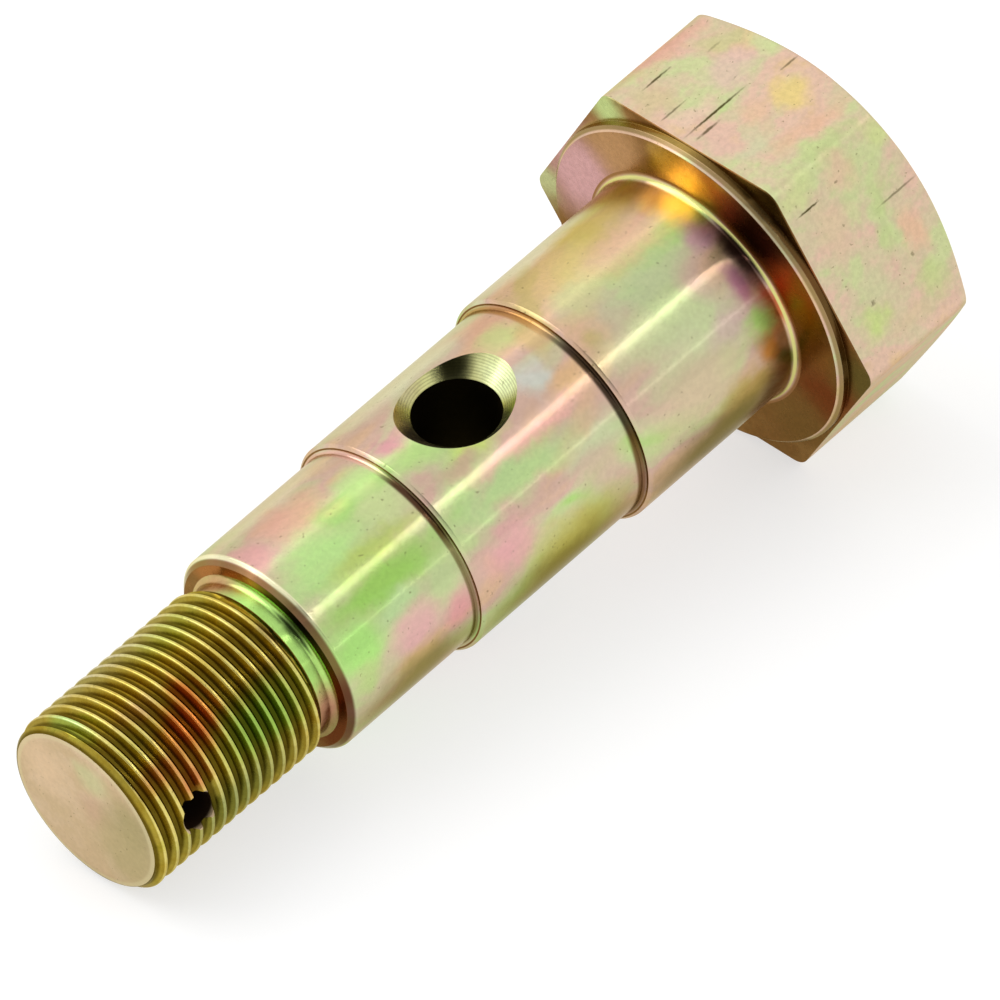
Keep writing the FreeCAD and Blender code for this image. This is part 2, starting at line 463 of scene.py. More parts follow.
def add_object(name: str, data: bpy.types.ID) -> bpy.types.Object:
    """Add an object to the scene.

    Args:
        name: The object's name.
        data: Its mesh, lamp or camera.

    Returns:
        The object.
    """
    item = bpy.data.objects.new(name, data)
    bpy.context.scene.collection.objects.link(item)
    return item


def lathe(name: str, columns: list[tuple[float, list[Spot]]]) -> bpy.types.Object:
    """Join outlines round an axis into one closed mesh.

    Args:
        name: The new object's name.
        columns: Pairs of an angle and the outline at that angle, the last one turn on
            from the first.

    Returns:
        The object, in millimetres, with one material index for each kind of surface.
    """
    mesh = bpy.data.meshes.new(name)
    build = bmesh.new()
    grid = []
    for bearing, spots in columns:
        cosine, sine = math.cos(bearing), math.sin(bearing)
        line = [
            build.verts.new((spot.radius * cosine, spot.radius * sine, spot.station))
            for spot in spots
        ]
        grid.append(line)
    for column in range(len(columns) - 1):
        spots = columns[column][1]
        left, right = grid[column], grid[column + 1]
        for row in range(len(spots) - 1):
            face = build.faces.new((left[row], right[row], right[row + 1], left[row + 1]))
            face.material_index = spots[row].surface.value
            face.smooth = True
    bmesh.ops.remove_doubles(build, verts=build.verts, dist=WELD)
    bmesh.ops.dissolve_degenerate(build, edges=build.edges, dist=SLIVER)
    bmesh.ops.recalc_face_normals(build, faces=build.faces)
    build.to_mesh(mesh)
    build.free()
    return add_object(name, mesh)


def to_linear(code: str) -> tuple[float, float, float, float]:
    """Turn a colour written as six hexadecimal digits into linear light.

    The numbers are those of the usual curve of screen colours.

    Args:
        code: The colour, such as "d8c08a".

    Returns:
        Red, green, blue and full cover.
    """
    values = []
    for start in (0, 2, 4):
        level = int(code[start : start + 2], 16) / 255
        low = level <= 0.04045
        values.append(level / 12.92 if low else ((level + 0.055) / 1.055) ** 2.4)
    return values[0], values[1], values[2], 1.0


class Graph:
    """A material's or a world's nodes, with short ways to add them."""

    def __init__(self, tree: bpy.types.NodeTree) -> None:
        """Take over a node tree and empty it."""
        self.tree = tree
        tree.nodes.clear()

    def add(
        self, kind: str, inputs: dict[str | int, Any] | None = None, **settings: Any
    ) -> bpy.types.Node:
        """Add a node.

        Args:
            kind: The node's type.
            inputs: Values or sockets for its inputs, by name or number.
            **settings: The node's own settings.

        Returns:
            The new node.
        """
        node = self.tree.nodes.new(kind)
        for name, value in settings.items():
            setattr(node, name, value)
        for key, value in (inputs or {}).items():
            socket = node.inputs[key]
            if isinstance(value, bpy.types.NodeSocket):
                self.tree.links.new(value, socket)
            else:
                socket.default_value = value
        return node

    def math(
        self, operation: Sum, first: Socket | float, second: Socket | float = 0.0,
        clamp: bool = False,
    ) -> Socket:
        """Add a sum of two values, which clamp keeps between nought and one."""
        node = self.add(
            "ShaderNodeMath", {0: first, 1: second}, operation=operation.value, use_clamp=clamp
        )
        return node.outputs[0]

    def vector(
        self, operation: Sum, first: Socket, second: Socket | Triple | Vector = (0.0,) * 3
    ) -> Socket:
        """Add a sum of two vectors, which gives a value or a vector."""
        node = self.add(
            "ShaderNodeVectorMath", {0: first, 1: second}, operation=operation.value
        )
        return node.outputs["Value" if operation in (Sum.LENGTH, Sum.DOT) else "Vector"]

    def away(self, where: Socket, middle: Triple, around: float, along: float) -> Socket:
        """How far a place is from a middle, as a share of a reach.

        Args:
            where: The socket of the place.
            middle: The point to measure from.
            around: The reach across the pin.
            along: The reach along the pin.

        Returns:
            The socket of the share, which is one at the reach.
        """
        shrink = (1 / around, 1 / around, 1 / along)
        offset = self.vector(Sum.SUBTRACT, where, middle)
        return self.vector(Sum.LENGTH, self.vector(Sum.MULTIPLY, offset, shrink))

    def between(
        self, value: Socket, low: float, high: float, start: float, end: float
    ) -> Socket:
        """Carry a value from one range smoothly over to another.

        Args:
            value: The socket to read.
            low: The value that gives start.
            high: The value that gives end.
            start: The result at low and below.
            end: The result at high and above.

        Returns:
            The result's socket.
        """
        node = self.add(
            "ShaderNodeMapRange",
            {"Value": value, 1: low, 2: high, 3: start, 4: end},
            interpolation_type="SMOOTHSTEP",
            clamp=True,
        )
        return node.outputs["Result"]

    def noise(
        self, where: Socket, scale: float, detail: float = 3.0, rough: float = 0.5,
        **more: float,
    ) -> Socket:
        """Add a noise of so many grains in a millimetre, round one half."""
        inputs = {"Vector": where, "Scale": scale, "Detail": detail, "Roughness": rough}
        return self.add("ShaderNodeTexNoise", {**inputs, **more}).outputs[0]

    def wander(self, where: Socket, scale: float, detail: float, reach: Triple) -> Socket:
        """Shift a place unevenly.

        Args:
            where: The socket of the place.
            scale: How many bends there are in a millimetre.
            detail: How many finer layers they have.
            reach: How far they go each way.

        Returns:
            The socket of the shifted place.
        """
        inputs = {"Vector": where, "Scale": scale, "Detail": detail}
        drift = self.add("ShaderNodeTexNoise", inputs).outputs[1]
        drift = self.vector(Sum.SUBTRACT, drift, HALF_COLOUR)
        return self.vector(Sum.ADD, where, self.vector(Sum.MULTIPLY, drift, reach))

    def ramp(self, value: Socket, stops: Stops) -> Socket:
        """Add a colour ramp.

        Args:
            value: The socket to read.
            stops: Pairs of a place from nought to one and a colour.

        Returns:
            The socket of the colour.
        """
        node = self.add("ShaderNodeValToRGB", {"Fac": value})
        band = node.color_ramp
        band.interpolation = "EASE"
        band.elements[0].position, band.elements[1].position = stops[0][0], stops[-1][0]
        band.elements[0].color = to_linear(stops[0][1])
        band.elements[1].color = to_linear(stops[-1][1])
        for place, code in stops[1:-1]:
            band.elements.new(place).color = to_linear(code)
        return node.outputs["Color"]

    def mix(
        self, factor: Socket | float, first: Socket, second: Socket | tuple,
        blend: Blend = Blend.COVER,
    ) -> Socket:
        """Lay the second colour over the first, as strongly as the factor says."""
        # A mix node's colours are its seventh and eighth inputs and its third output
        node = self.add(
            "ShaderNodeMix", {0: factor, 6: first, 7: second}, data_type="RGBA",
            blend_type=blend.value,
        )
        return node.outputs[2]


class Mark:
    """Something of another colour laid over the plating: real film colour, seams and tool rings,
    and also painted shade, painted highlights and painted reflections.

    Each kind says where it shows, and its edge is where it starts to fade and is gone.
    """

    colour: str
    blend: ClassVar[Blend] = Blend.COVER
    edge: ClassVar[Pair] = (0.25, 1.25)

    def mask(self, graph: Graph, where: Socket) -> Socket:
        """How strongly the mark shows at a place."""
        raise NotImplementedError

    def lay(self, graph: Graph, where: Socket, colour: Socket) -> Socket:
        """Lay the mark over the colour so far."""
        return graph.mix(self.mask(graph, where), colour, to_linear(self.colour), self.blend)


@dataclass(frozen=True)
class FilmAndLightPatch(Mark):
    """A soft-edged patch of another colour, used for the film's own colour and for painted shade,
    painted highlights and painted reflections.
    """

    middle: Triple
    around: float
    along: float
    colour: str
    strength: float = 0.8

    def mask(self, graph: Graph, where: Socket) -> Socket:
        """How strongly the patch shows at a place."""
        far = graph.away(where, self.middle, self.around, self.along)
        return graph.between(far, *self.edge, self.strength, 0.0)


def round_point(radius: float, degrees: float, station: float) -> Triple:
    """A point on a turned surface.

    Args:
        radius: The surface's distance from the axis.
        degrees: Angle from the upper flat's normal.
        station: Distance from the washer face.

    Returns:
        The point in the pin's own frame.
    """
    angle = math.radians(degrees)
    return radius * math.cos(angle), radius * math.sin(angle), station


def flat_point(facing: float, across: float, station: float) -> Triple:
    """A point on one of the hexagon's flats.

    Args:
        facing: Angle of the flat's normal in degrees.
        across: Distance from the flat's middle line.
        station: Distance from the washer face.

    Returns:
        The point in the pin's own frame.
    """
    angle = math.radians(facing)
    flat = HexagonHead().flat
    return (
        flat * math.cos(angle) - across * math.sin(angle),
        flat * math.sin(angle) + across * math.cos(angle),
        station,
    )


def stains_on(place: Callable[..., Triple], size: float, *rows: Row) -> tuple[FilmAndLightPatch, ...]:
    """Patches on one surface, of the film's own colour and of painted shade, painted highlights
    and painted reflections.

    Args:
        place: The way to a point on it, round_point or flat_point.
        size: What that way takes first, the radius or the flat's angle.
        *rows: For each patch, its angle in degrees or its distance from the flat's middle
        line, its distance from the washer face, its half width, its half length along
        the pin, its colour and, unless it is the usual one, its strength.

    Returns:
        The patches.
    """
    return tuple(FilmAndLightPatch(place(size, side, station), *rest) for side, station, *rest in rows)


@dataclass(frozen=True)
class Seam(Mark):
    """A thin dark seam that drawing the bar has left along a flat."""

    facing: float
    across: float
    start: float
    end: float
    width: float = 0.16
    strength: float = 0.8
    colour: str = "4c4420"
    edge: ClassVar[Pair] = (0.3, 1.1)

    def mask(self, graph: Graph, where: Socket) -> Socket:
        """How strongly the seam shows at a place.

        Args:
            graph: The material's nodes.
            where: The socket of the place.

        Returns:
            The socket of the strength.
        """
        middle = flat_point(self.facing, self.across, (self.start + self.end) / 2)
        far = graph.away(where, middle, self.width, (self.end - self.start) / 2)
        return graph.between(far, *self.edge, self.strength, 0.0)


@dataclass(frozen=True)
class PaintedDepthShade(Mark):
    """Painted shade that darkens a surface towards the pin's axis, in the thread's grooves and
    inside holes.
    """

    outer: float
    inner: float
    colour: str
    strength: float = 1.0
    blend: ClassVar[Blend] = Blend.DARKEN

    def mask(self, graph: Graph, where: Socket) -> Socket:
        """How strongly the painted shade shows at a place."""
        radius = graph.vector(Sum.LENGTH, graph.vector(Sum.MULTIPLY, where, ACROSS))
        return graph.between(radius, self.inner, self.outer, self.strength, 0.0)


@dataclass(frozen=True)
class PaintedRing(Mark):
    """A narrow band of painted shade or of a painted highlight round the pin, over a part of a
    turn or all of it.
    """

    radius: float
    station: float
    reach: float
    colour: str
    strength: float = 0.8
    facing: float = 0.0
    spread: float = 180.0
    core: ClassVar[float] = 0.4

    def mask(self, graph: Graph, where: Socket) -> Socket:
        """How strongly the ring shows at a place.

        Args:
            graph: The material's nodes.
            where: The socket of the place.

        Returns:
            The socket of the strength.
        """
        heading = graph.vector(Sum.NORMALIZE, graph.vector(Sum.MULTIPLY, where, ACROSS))
        middle = graph.vector(Sum.MULTIPLY, heading, (self.radius,) * 3)
        middle = graph.vector(Sum.ADD, middle, (0.0, 0.0, self.station))
        away = graph.vector(Sum.LENGTH, graph.vector(Sum.SUBTRACT, where, middle))
        mask = graph.between(away, self.reach * self.core, self.reach, self.strength, 0.0)
        if self.spread == PaintedRing.spread:
            return mask
        spread = math.radians(self.spread)
        toward = graph.vector(Sum.DOT, heading, round_point(1.0, self.facing, 0.0))
        side = graph.between(toward, math.cos(spread), math.cos(spread / 2), 0.0, 1.0)
        return graph.math(Sum.MULTIPLY, mask, side)


@dataclass(frozen=True)
class ToolRings(Mark):
    """The fine rings that a cutter has left round a hole's axis."""

    station: float
    pitch: float
    colour: str
    strength: float
    blend: ClassVar[Blend] = Blend.DARKEN
    edge: ClassVar[Pair] = (-0.6, 1.0)

    def mask(self, graph: Graph, where: Socket) -> Socket:
        """How strongly the rings show at a place.

        Args:
            graph: The material's nodes.
            where: The socket of the place.

        Returns:
            The socket of the strength.
        """
        away = graph.vector(Sum.SUBTRACT, where, (0.0, 0.0, self.station))
        far = graph.vector(Sum.LENGTH, graph.vector(Sum.MULTIPLY, away, (0.0, 1.0, 1.0)))
        wave = graph.math(Sum.SINE, graph.math(Sum.MULTIPLY, far, TURN / self.pitch))
        return graph.between(wave, *self.edge, 0.0, self.strength)


@dataclass(frozen=True)
class PlatedFinish:
    """Yellow zinc plating, whose film shows changing colours over the steel, with painted shade,
    painted highlights and painted reflections laid into its colour.
    """

    name: str
    stops: Stops
    film: float = 0.5
    wave: float = 0.8
    scale: float = 0.09
    stretch: float = 0.5
    fine: float = 0.2
    uneven: float = 3.0
    roughness: float = 0.25
    roughness_spread: float = 0.08
    grain: float = 0.004
    grain_scale: Triple = (3.0, 3.0, 3.0)
    specks: float = 0.4
    stains: tuple[FilmAndLightPatch, ...] = ()
    seams: tuple[Seam, ...] = ()
    tones: tuple[PaintedDepthShade | PaintedRing | ToolRings, ...] = ()
    mottle: float = 0.08
    turned: float = 0.0
    metallic: float = 1.0
    edge_tint: str = "e4dcc0"
    speck_colour: str = "5d5128"
    speck_edge: Pair = (0.72, 0.77)
    patch_bends: Pair = (0.22, 4.0)
    seam_bends: Pair = (1.6, 3.0)
    seam_wander: Triple = (0.22, 0.22, 2.0)
    swirl: float = 0.8
    finer: float = 6.0
    # The film's and its finer changes' layers of noise, and the strength of these
    film_layers: Pair = (2.0, 0.5)
    fine_layers: Pair = (4.0, 0.6)
    # Noises, as grains in a millimetre, layers and the strength of these
    wear_noise: Triple = (0.5, 4.0, 0.6)
    grain_noise: Triple = (1.0, 3.0, 0.6)
    mottle_noise: Triple = (1.4, 3.0, 0.65)
    speck_noise: Triple = (1.9, 1.0, 0.5)
    noise_range: Pair = (0.3, 0.7)
    wear_stretch: float = 0.4
    turned_by: float = 0.25

    def build(self, to_pin: Matrix) -> bpy.types.Material:
        """Make the material.

        Args:
            to_pin: The way from the scene's frame, in metres, to the pin's own frame in
                millimetres.

        Returns:
            The material.
        """
        material = bpy.data.materials.new(self.name)
        material.use_nodes = True
        graph = Graph(material.node_tree)
        where = pin_place(graph, to_pin)
        colour = self.colour(graph, where)
        drawn = graph.vector(Sum.MULTIPLY, where, (1.0, 1.0, self.wear_stretch))
        spread = self.roughness_spread / 2
        low, high = self.roughness - spread, self.roughness + spread
        wear = graph.noise(drawn, *self.wear_noise)
        inputs = {
            "Base Color": colour,
            "Metallic": self.metallic,
            "Roughness": graph.between(wear, *self.noise_range, low, high),
            "Specular Tint": to_linear(self.edge_tint),
        }
        if self.grain:
            inputs["Normal"] = self.grainy_normal(graph, where)
        if self.turned:
            # A turned surface blurs what it shows along the pin and hardly round it
            axis = to_pin.to_3x3().transposed() @ Vector((0.0, 0.0, 1.0))
            facing = graph.add("ShaderNodeNewGeometry").outputs["Normal"]
            inputs["Tangent"] = graph.vector(Sum.CROSS, facing, axis.normalized())
            inputs["Anisotropic"] = self.turned
            inputs["Anisotropic Rotation"] = self.turned_by
        shader = graph.add("ShaderNodeBsdfPrincipled", inputs)
        graph.add("ShaderNodeOutputMaterial", {"Surface": shader.outputs["BSDF"]})
        return material

    def grainy_normal(self, graph: Graph, where: Socket) -> Socket:
        """The surface's own direction, made uneven by the metal's fine grain.

        Args:
            graph: The material's nodes.
            where: The socket of the place on the pin.

        Returns:
            The socket of the direction.
        """
        place = graph.vector(Sum.MULTIPLY, where, self.grain_scale)
        height = graph.noise(place, *self.grain_noise)
        inputs = {"Strength": 1.0, "Distance": self.grain * MM, "Height": height}
        return graph.add("ShaderNodeBump", inputs).outputs[0]

    def colour(self, graph: Graph, where: Socket) -> Socket:
        """The plating's colour over the surface, with the painted shade and highlights in it.

        Args:
            graph: The material's nodes.
            where: The socket of the place on the pin.

        Returns:
            The socket of the colour.
        """
        drawn = graph.vector(Sum.MULTIPLY, where, (1.0, 1.0, self.stretch))
        film: Socket | float = self.film
        layers = (
            (graph.noise(drawn, self.scale, *self.film_layers, Distortion=self.swirl), self.wave),
            (graph.noise(drawn, self.scale * self.finer, *self.fine_layers), self.fine),
        )
        for noise, strength in layers:
            swing = graph.math(Sum.SUBTRACT, noise, HALF)
            film = graph.math(Sum.ADD, graph.math(Sum.MULTIPLY, swing, strength * 2), film)
        colour = graph.ramp(film, self.stops)
        moved = graph.wander(where, *self.patch_bends, (self.uneven * 2,) * 3)
        for stain in self.stains:
            colour = stain.lay(graph, moved, colour)
        colour = self.weather(graph, where, colour)
        # Painted shade, painted highlights and the cutter's tool rings go on last
        for tone in self.tones:
            colour = tone.lay(graph, where, colour)
        return colour

    def weather(self, graph: Graph, where: Socket, colour: Socket) -> Socket:
        """Lay the seams, the fine mottle and the dark specks over a colour.

        Args:
            graph: The material's nodes.
            where: The socket of the place on the pin.
            colour: The socket of the colour so far.

        Returns:
            The socket of the new colour.
        """
        nudged = graph.wander(where, *self.seam_bends, self.seam_wander)
        for seam in self.seams:
            colour = seam.lay(graph, nudged, colour)
        low, high = 1.0 - self.mottle, 1.0 + self.mottle
        cloud = graph.noise(where, *self.mottle_noise)
        shade = graph.between(cloud, *self.noise_range, low, high)
        grey = graph.add("ShaderNodeCombineColor", {0: shade, 1: shade, 2: shade}).outputs[0]
        colour = graph.mix(1.0, colour, grey, Blend.DARKEN)
        dots = graph.noise(where, *self.speck_noise)
        speck = graph.between(dots, *self.speck_edge, 0.0, self.specks)
        return graph.mix(speck, colour, to_linear(self.speck_colour))


def pin_place(graph: Graph, to_pin: Matrix) -> Socket:
    """The place on the pin, in its own frame and in millimetres.

    Args:
        graph: The material's nodes.
        to_pin: The way from the scene's frame to the pin's own.

    Returns:
        The socket of the place.
    """
    spot = graph.add("ShaderNodeTexCoord").outputs["Object"]
    turn = to_pin.to_3x3().normalized()
    node = graph.add(
        "ShaderNodeMapping",
        {
            "Vector": spot,
            "Location": to_pin.translation,
            "Rotation": turn.to_euler(),
            "Scale": (1 / MM,) * 3,
        },
        vector_type="POINT",
    )
    return node.outputs["Vector"]


@dataclass
class LinkPin:
    """The whole pin: head, shank, thread and the two holes across it."""

    name: str = "link_pin_metal"
    head: HexagonHead = field(default_factory=HexagonHead)
    shank: SteppedShank = field(default_factory=SteppedShank)
    thread: FineThread = field(default_factory=FineThread)
    holes: tuple[CrossHole, ...] = (CROSS_HOLE, SPLIT_PIN_HOLE)
    sharp_from: float = 38.0
    normal_weight: int = 60

    def lie(self) -> Matrix:
        """How the pin lies, on its lower flat's edge and the thread's rim.

        Returns:
            The way from the pin's own frame in millimetres to the scene's in metres.
        """
        head, thread = self.head, self.thread
        rim = thread.major
        length = thread.chamfer_from - head.underside
        dip = math.atan((head.flat - rim) / length)
        sine, cosine = math.sin(dip), math.cos(dip)
        end_reach = thread.blank(thread.end) * sine + thread.end * cosine
        head_reach = (head.flat - head.top_margin / 2) * sine + head.height * cosine
        forward = (end_reach - head_reach) / 2
        height = head.flat * cosine + head.underside * sine
        turn = Matrix(
            ((-sine, 0.0, -cosine), (0.0, 1.0, 0.0), (cosine, 0.0, -sine))
        ).to_4x4()
        return Matrix.Scale(MM, 4) @ Matrix.Translation((forward, 0.0, height)) @ turn

    def columns(self) -> list[tuple[float, list[Spot]]]:
        """The pin's outlines round its axis.

        Returns:
            Pairs of an angle and an outline, the last one turn on from the first.
        """
        bearings = self.head.bearings()
        bearings.append(bearings[0] + TURN)
        columns = []
        ends = trace_outline(self.thread.end_corners())[1:]
        for bearing in bearings:
            body = self.head.outline(bearing) + self.shank.outline()
            body.append(Corner(self.shank.neck, self.thread.start, Surface.THREAD))
            outline = trace_outline(body)[:-1]
            outline += self.thread.outline(bearing)
            columns.append((bearing, outline + ends))
        return columns

    def cut(self, piece: bpy.types.Object, hole: CrossHole) -> None:
        """Cut a hole through the pin.

        Args:
            piece: The pin.
            hole: The hole.
        """
        angles = [TURN * step / hole.divisions for step in range(hole.divisions + 1)]
        cutter = lathe(hole.name, [(angle, hole.cutter_outline()) for angle in angles])
        cutter.data.transform(hole.place())
        for surface in Surface:
            cutter.data.materials.append(piece.data.materials[surface.value])
        modifier = piece.modifiers.new("cut", "BOOLEAN")
        modifier.operation = "DIFFERENCE"
        modifier.solver = "EXACT"
        modifier.material_mode = "TRANSFER"
        modifier.object = cutter
        bpy.context.view_layer.update()
        graph = bpy.context.evaluated_depsgraph_get()
        cut_mesh = bpy.data.meshes.new_from_object(piece.evaluated_get(graph))
        piece.modifiers.clear()
        plain = piece.data
        piece.data = cut_mesh
        bpy.data.meshes.remove(plain)
        bpy.data.objects.remove(cutter)

    def build(self, finishes: dict[Surface, PlatedFinish]) -> bpy.types.Object:
        """Make the pin and dress it.

        Args:
            finishes: The finish of each kind of surface.

        Returns:
            The pin's object.
        """
        lie = self.lie()
        piece = lathe(self.name, self.columns())
        to_pin = lie.inverted()
        for surface in Surface:
            piece.data.materials.append(finishes[surface].build(to_pin))
        for hole in self.holes:
            self.cut(piece, hole)
        piece.data.transform(lie)
        for face in piece.data.polygons:
            face.use_smooth = True
        piece.data.set_sharp_from_angle(angle=math.radians(self.sharp_from))
        soften = piece.modifiers.new("even_normals", "WEIGHTED_NORMAL")
        soften.keep_sharp = True
        soften.weight = self.normal_weight
        piece.data.name = self.name
        return piece


@dataclass(frozen=True)
class SoftLamp:
    """A rectangular lamp that the camera doesn't see."""

    name: str
    toward: Triple
    distance: float
    width: float
    length: float
    power: float

    def build(self, aim: Vector) -> bpy.types.Object:
        """Hang the lamp.

        Args:
            aim: The point that it lights.

        Returns:
            The lamp's object.
        """
        data = bpy.data.lights.new(self.name, "AREA")
        data.shape = "RECTANGLE"
        data.size, data.size_y = self.width, self.length
        data.energy = self.power
        lamp = add_object(self.name, data)
        way = Vector(self.toward).normalized()
        turn = way.to_track_quat("Z", "Y").to_matrix().to_4x4()
        lamp.matrix_world = Matrix.Translation(aim + way * self.distance) @ turn
        lamp.visible_camera = False
        return lamp


@dataclass(frozen=True)
class Studio:
    """A plain white floor, a soft surround with one dim side, and soft lamps."""

    floor_side: float = 8.0
    floor_drop: float = 0.00002
    floor_shade: float = 0.42
    floor_glow: float = 0.64
    dim_side: Triple = (-0.53, -0.51, 0.68)
    dim_edge: Pair = (0.78, 0.95)
    dim_level: float = 0.06
    aim: Vector = field(default_factory=lambda: Vector((0.0, 0.0, 0.02)))
    lamps: tuple[SoftLamp, ...] = (
        SoftLamp("key_lamp", (-0.45, 0.80, 0.95), 1.3, 1.2, 1.2, 8.0),
        SoftLamp("upper_strip", (0.28, -0.55, 0.80), 1.3, 1.8, 0.016, 0.95),
        SoftLamp("lower_strip", (0.28, -0.92, 0.31), 1.3, 1.8, 0.014, 0.11),
    )

    def build_floor(self) -> bpy.types.Object:
        """Lay the floor, which shows the pin's shadow on white.

        Returns:
            The floor's object.
        """
        mesh = bpy.data.meshes.new("floor")
        half = self.floor_side / 2
        spots = [(-half, -half, 0), (half, -half, 0), (half, half, 0), (-half, half, 0)]
        mesh.from_pydata(spots, [], [(0, 1, 2, 3)])
        floor = add_object("floor", mesh)
        floor.location.z = -self.floor_drop
        material = bpy.data.materials.new("white_floor")
        material.use_nodes = True
        graph = Graph(material.node_tree)
        rays = graph.add("ShaderNodeLightPath").outputs
        seen = graph.math(Sum.ADD, rays["Is Camera Ray"], rays["Is Glossy Ray"], clamp=True)
        seen = graph.math(Sum.ADD, seen, rays["Is Transmission Ray"], clamp=True)
        matt = graph.add("ShaderNodeBsdfDiffuse", {"Color": (self.floor_shade,) * 3 + (1.0,)})
        glow_level = graph.math(Sum.MULTIPLY, seen, self.floor_glow)
        glow = graph.add("ShaderNodeEmission", {"Strength": glow_level})
        both = graph.add("ShaderNodeAddShader", {0: matt.outputs[0], 1: glow.outputs[0]})
        graph.add("ShaderNodeOutputMaterial", {"Surface": both.outputs[0]})
        mesh.materials.append(material)
        return floor

    def build_surround(self) -> None:
        """Light the scene evenly from all round, and dimly from one side."""
        world = bpy.data.worlds.new("surround")
        world.use_nodes = True
        graph = Graph(world.node_tree)
        way = graph.add("ShaderNodeTexCoord").outputs["Generated"]
        toward = graph.vector(Sum.DOT, way, Vector(self.dim_side).normalized())
        level = graph.between(toward, *self.dim_edge, 1.0, self.dim_level)
        white = (1.0, 1.0, 1.0, 1.0)
        back = graph.add("ShaderNodeBackground", {"Color": white, "Strength": level})
        graph.add("ShaderNodeOutputWorld", {"Surface": back.outputs[0]})
        bpy.context.scene.world = world

    def build(self) -> None:
        """Set up the floor, the surround and the lamps."""
        self.build_floor()
        self.build_surround()
        for lamp in self.lamps:
            lamp.build(self.aim)
            LOG.info("lamp %s", lamp.name)


@dataclass(frozen=True)
class PhotoCamera:
    """The camera at the photograph's place and angle."""

    place: Triple = (-0.947196, -0.920688, 1.248355)
    right: Triple = (0.683148, -0.730094, -0.016480)
    down: Triple = (-0.506199, -0.457142, -0.731289)
    lens: float = 550.27
    sensor: float = 36.0
    clip: Pair = (0.05, 50.0)

    def build(self) -> bpy.types.Object:
        """Set up the scene's camera.

        Returns:
            The camera's object.
        """
        data = bpy.data.cameras.new("photo_camera")
        data.lens = self.lens
        data.sensor_width = self.sensor
        data.clip_start, data.clip_end = self.clip
        camera = add_object("photo_camera", data)
        right, down = Vector(self.right), Vector(self.down)
        turn = Matrix((right, -down, -right.cross(down))).transposed()
        camera.matrix_world = Matrix.Translation(self.place) @ turn.to_4x4()
        bpy.context.scene.camera = camera
        return camera


# The angles of the two flats with stains and seams of their own, in degrees
UPPER_FLAT, FRONT_FLAT = 0.0, -60.0

JOURNAL_FILM = (
    (0.00, "a2965a"),
    (0.18, "c6b07a"),
    (0.34, "d6b294"),
    (0.48, "cfae9c"),
    (0.60, "c8bd9a"),
    (0.72, "c0cc92"),
    (0.86, "acd07a"),
    (1.00, "c8dc82"),
)


def journal_finish(name: str, **own: Any) -> PlatedFinish:
    """A journal's finish, turned smooth.

    Args:
        name: The material's name.
        **own: What is the journal's own, such as its stains.

    Returns:
        The finish.
    """
    return PlatedFinish(
        name, JOURNAL_FILM, fine=0.08, roughness_spread=0.03, grain=0.0, mottle=0.035,
        turned=1.0, **own,
    )


# The satin plating on the hexagon head, with the bar's seams showing through
BAR_FINISH = PlatedFinish(
    "plated_bar", wave=0.7, scale=0.10, stretch=0.8, fine=0.18, uneven=3.2, roughness=0.40,
    grain=0.010, mottle=0.06,
    stops=(
        (0.0, "c6b67d"), (0.2, "dcbd94"), (0.38, "dcbba5"), (0.52, "d2c2a0"),
        (0.68, "c9ce99"), (0.84, "c4d290"), (1.0, "dccb8a"),
    ),
    stains=stains_on(
        flat_point, UPPER_FLAT,
        (12.5, -11.0, 2.2, 9.0, "deac97"),
        (8.5, -16.5, 2.6, 3.6, "c8c591"),
        (4.3, -19.0, 2.8, 2.2, "cbd59a"),
        (4.8, -13.7, 3.0, 4.0, "dbbcad"),
        (8.0, -4.5, 2.6, 4.2, "cebf94"),
        (2.9, -5.3, 1.7, 4.0, "e2c5ad"),
        (0.4, -7.8, 1.0, 2.2, "c3d291"),
        (-3.5, -15.3, 3.2, 3.0, "e3cb84", 0.9),
        (-3.2, -10.0, 3.0, 2.6, "e0bc9c"),
        (-2.7, -4.2, 2.6, 2.2, "dcb8a6"),
        (-6.3, -6.0, 1.7, 3.0, "cbc9a3"),
        (-9.4, -12.5, 2.2, 7.0, "dfb697"),
        (-12.6, -12.0, 1.6, 7.0, "c0cc8e"),
    ) + stains_on(
        flat_point, FRONT_FLAT,
        (11.8, -17.7, 2.6, 3.0, "cbd590"),
        (11.0, -11.1, 3.0, 2.8, "dcbd9f"),
        (11.5, -4.7, 2.4, 3.0, "cbd394"),
        (5.0, -14.4, 3.6, 1.8, "c0ce8e"),
        (-1.0, -13.0, 3.0, 1.6, "c0ce8e"),
        (-2.2, -16.8, 3.4, 1.8, "e2b99a", 0.85),
        (5.2, -6.9, 4.2, 3.4, "d8c09f"),
        (-3.8, -9.2, 3.0, 3.4, "cbca9d"),
        (-7.7, -5.6, 2.8, 3.0, "c3d284", 0.85),
        (-8.5, -15.5, 2.6, 2.6, "c0cc8a"),
        (-10.6, -10.8, 1.8, 3.4, "d5c09c"),
    ),
    seams=(
        Seam(UPPER_FLAT, 10.25, -9.8, -4.4, 0.22, 0.9),
        Seam(UPPER_FLAT, 8.4, -16.6, -14.0, 0.22, 0.35),
        Seam(UPPER_FLAT, 5.1, -7.2, -1.6, 0.20, 0.65),
        Seam(UPPER_FLAT, 1.05, -13.4, -1.5, 0.24, 0.95),
        Seam(UPPER_FLAT, -0.3, -7.2, -2.4, 0.28),
        Seam(UPPER_FLAT, -0.5, -20.6, -17.0, 0.22, 0.65),
        Seam(UPPER_FLAT, 3.0, -13.8, -12.6, 0.16, 0.35),
        Seam(FRONT_FLAT, 9.2, -7.1, -2.7, 0.20, 0.95),
        Seam(FRONT_FLAT, 3.45, -20.8, -13.0, 0.20, 0.6),
        Seam(FRONT_FLAT, 9.6, -10.5, -9.7, 0.20, 0.55),
        Seam(FRONT_FLAT, -5.6, -7.3, -6.3, 0.42, 0.60),
        Seam(FRONT_FLAT, -4.1, -15.1, -14.4, 0.40, 0.50),
    ),
)
